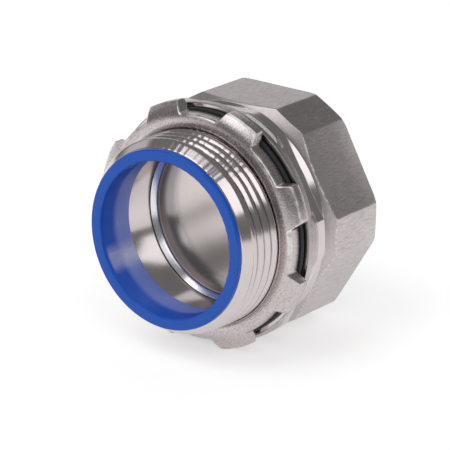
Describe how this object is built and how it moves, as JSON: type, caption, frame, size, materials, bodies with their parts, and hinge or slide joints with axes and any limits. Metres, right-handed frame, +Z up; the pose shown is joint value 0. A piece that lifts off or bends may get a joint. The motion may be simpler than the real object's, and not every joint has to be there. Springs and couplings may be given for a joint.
{
  "type": "conduit fitting",
  "caption": "Straight liquid-tight conduit connector: threaded outlet with insulated throat, toothed locknut and seal, gland nut with ring and ferrule.",
  "frame": {"origin": "on the ground, under the middle of the bounding box of the fitting as it lies at rest", "axes": "+Z up; +Y from the threaded mouth towards the gland nut, level with the ground; +X to the right for a viewer who faces the mouth. The fitting's own axis dips 3.41 degrees from +Y, because the locknut's lugs stand taller than the nut's flats."},
  "size_m": [0.0516, 0.0414, 0.051],
  "materials": {
    "hub_steel": "turned",
    "throat_plastic": "satin",
    "locknut_steel": "cast satin",
    "gasket_rubber": "matte",
    "nut_steel": "brushed",
    "ring_nylon": "matte",
    "ferrule_steel": "plain"
  },
  "bodies": {
    "hub": {"hub_body": "hub_steel", "insulated_throat": "throat_plastic"},
    "seal": {"sealing_gasket": "gasket_rubber"},
    "locknut": {"locknut": "locknut_steel"},
    "gland": {"ferrule": "ferrule_steel", "compression_ring": "ring_nylon"},
    "nut": {"compression_nut": "nut_steel"}
  },
  "joints": [
    {"name": "locknut_travel", "type": "slide", "parent": "hub", "child": "seal", "axis": [0, -0.9982, 0.0595], "range_m": [0, 0.01105]},
    {"name": "locknut_turn", "type": "hinge", "parent": "seal", "child": "locknut", "pos_m": [0, 0.00039, 0.02511], "axis": [0, -0.9982, 0.0595], "range_deg": [0, 1800]},
    {"name": "nut_travel", "type": "slide", "parent": "hub", "child": "gland", "axis": [0, 0.9982, -0.0595], "range_m": [0, 0.00905]},
    {"name": "nut_turn", "type": "hinge", "parent": "gland", "child": "nut", "pos_m": [0, 0.00039, 0.02511], "axis": [0, 0.9982, -0.0595], "range_deg": [0, 1620]}
  ],
  "couplings": [
    {"joint": "locknut_travel", "follows": "locknut_turn", "m_per_rad": 0.00035157},
    {"joint": "nut_travel", "follows": "nut_turn", "m_per_rad": 0.00031831}
  ]
}
